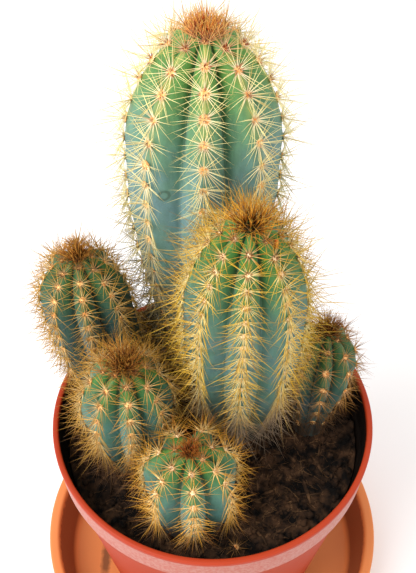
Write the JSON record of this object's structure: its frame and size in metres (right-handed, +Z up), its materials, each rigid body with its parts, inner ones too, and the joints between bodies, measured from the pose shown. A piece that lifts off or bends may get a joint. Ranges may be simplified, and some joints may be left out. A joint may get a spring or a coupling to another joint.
{
  "type": "potted pilosocereus cactus",
  "caption": "Clump of ribbed, spiny columnar cactus stems in a tapered round plastic pot of peat, standing on a shallow round saucer.",
  "frame": {"origin": "under the middle of the saucer, on the surface that it stands on", "axes": "+Z up through the pot; seen from -Y the tallest stem stands behind and the small ones in front"},
  "size_m": [0.1426, 0.1441, 0.2571],
  "materials": {
    "saucer": "satin",
    "pot": "satin",
    "soil": "matte",
    "stem_tall": "satin",
    "stem_golden": "satin"
  },
  "bodies": {
    "root": {"saucer": "saucer", "pot": "pot", "soil": "soil", "stem_tall": "stem_tall", "stem_middle": "stem_golden", "stem_left": "stem_golden", "stem_left_front": "stem_golden", "stem_front": "stem_golden", "stem_right": "stem_golden"}
  },
  "joints": []
}
